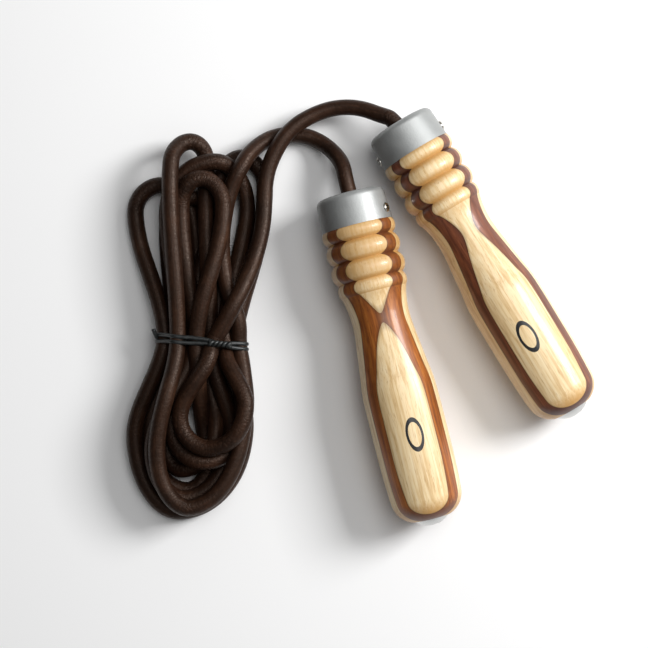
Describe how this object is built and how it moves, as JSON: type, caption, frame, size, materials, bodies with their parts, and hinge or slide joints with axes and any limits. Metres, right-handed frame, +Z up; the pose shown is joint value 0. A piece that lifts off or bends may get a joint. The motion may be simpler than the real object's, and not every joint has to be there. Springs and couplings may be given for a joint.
{
  "type": "jump rope",
  "caption": "Leather jump rope wound in a tied hank, with turned laminated wood handles that spin on ball bearings under silver ferrules.",
  "frame": {"origin": "on the floor, under the centre of the box around the two handles, without the rope", "axes": "+Z up from the floor, +Y from the handles' butts towards their ferrules, +X to the right, so the hank lies at -X"},
  "size_m": [0.2184, 0.1991, 0.035],
  "materials": {
    "light_wood": "clear lacquered light hardwood",
    "dark_wood": "clear lacquered dark red-brown hardwood",
    "ferrule_metal": "satin silver paint",
    "screw_steel": "nickel plated",
    "bearing_steel": "ground and polished",
    "cage_brass": "pressed",
    "sleeve_steel": "turned",
    "crimp_aluminium": "pressed",
    "plug_metal": "satin",
    "leather": "dark brown, oiled, fine creases",
    "tie_plastic": "black plastic-coated wire"
  },
  "bodies": {
    "rope": {"bearing_inner_race_a": "bearing_steel", "bearing_inner_race_b": "bearing_steel", "hank_tie": "tie_plastic", "rope_crimp_a": "crimp_aluminium", "rope_crimp_b": "crimp_aluminium", "rope_hank": "leather", "rope_lead_a": "leather", "rope_lead_b": "leather", "stop_washer_a": "screw_steel", "stop_washer_b": "screw_steel", "swivel_sleeve_a": "sleeve_steel", "swivel_sleeve_b": "sleeve_steel"},
    "handle_a": {"back_dark_layer_a": "dark_wood", "back_light_grip_layer_a": "light_wood", "back_light_neck_layer_a": "light_wood", "bearing_outer_race_a": "bearing_steel", "butt_plug_a": "plug_metal", "core_layer_a": "light_wood", "ferrule_a": "ferrule_metal", "ferrule_screws_a": "screw_steel", "front_dark_layer_a": "dark_wood", "front_light_grip_layer_a": "light_wood", "front_light_neck_layer_a": "light_wood"},
    "bearing_cage_a": {"bearing_balls_a": "bearing_steel", "bearing_cage_a": "cage_brass"},
    "handle_b": {"back_dark_layer_b": "dark_wood", "back_light_layer_b": "light_wood", "bearing_outer_race_b": "bearing_steel", "butt_plug_b": "plug_metal", "core_layer_b": "light_wood", "ferrule_b": "ferrule_metal", "ferrule_screws_b": "screw_steel", "front_dark_layer_b": "dark_wood", "front_light_layer_b": "light_wood"},
    "bearing_cage_b": {"bearing_balls_b": "bearing_steel", "bearing_cage_b": "cage_brass"}
  },
  "joints": [
    {"name": "handle_a_spin", "type": "hinge", "parent": "rope", "child": "handle_a", "pos_m": [-0.04928, 0.05697, 0.0175], "axis": [0.2462, -0.9692, 0], "continuous": true},
    {"name": "bearing_cage_a_spin", "type": "hinge", "parent": "rope", "child": "bearing_cage_a", "pos_m": [-0.04928, 0.05697, 0.0175], "axis": [0.2462, -0.9692, 0], "continuous": true},
    {"name": "handle_b_spin", "type": "hinge", "parent": "rope", "child": "handle_b", "pos_m": [-0.02633, 0.08964, 0.0175], "axis": [0.518, -0.8554, 0], "continuous": true},
    {"name": "bearing_cage_b_spin", "type": "hinge", "parent": "rope", "child": "bearing_cage_b", "pos_m": [-0.02633, 0.08964, 0.0175], "axis": [0.518, -0.8554, 0], "continuous": true}
  ],
  "couplings": [
    {"joint": "bearing_cage_a_spin", "follows": "handle_a_spin", "ratio": 0.59922},
    {"joint": "bearing_cage_b_spin", "follows": "handle_b_spin", "ratio": 0.59922}
  ]
}
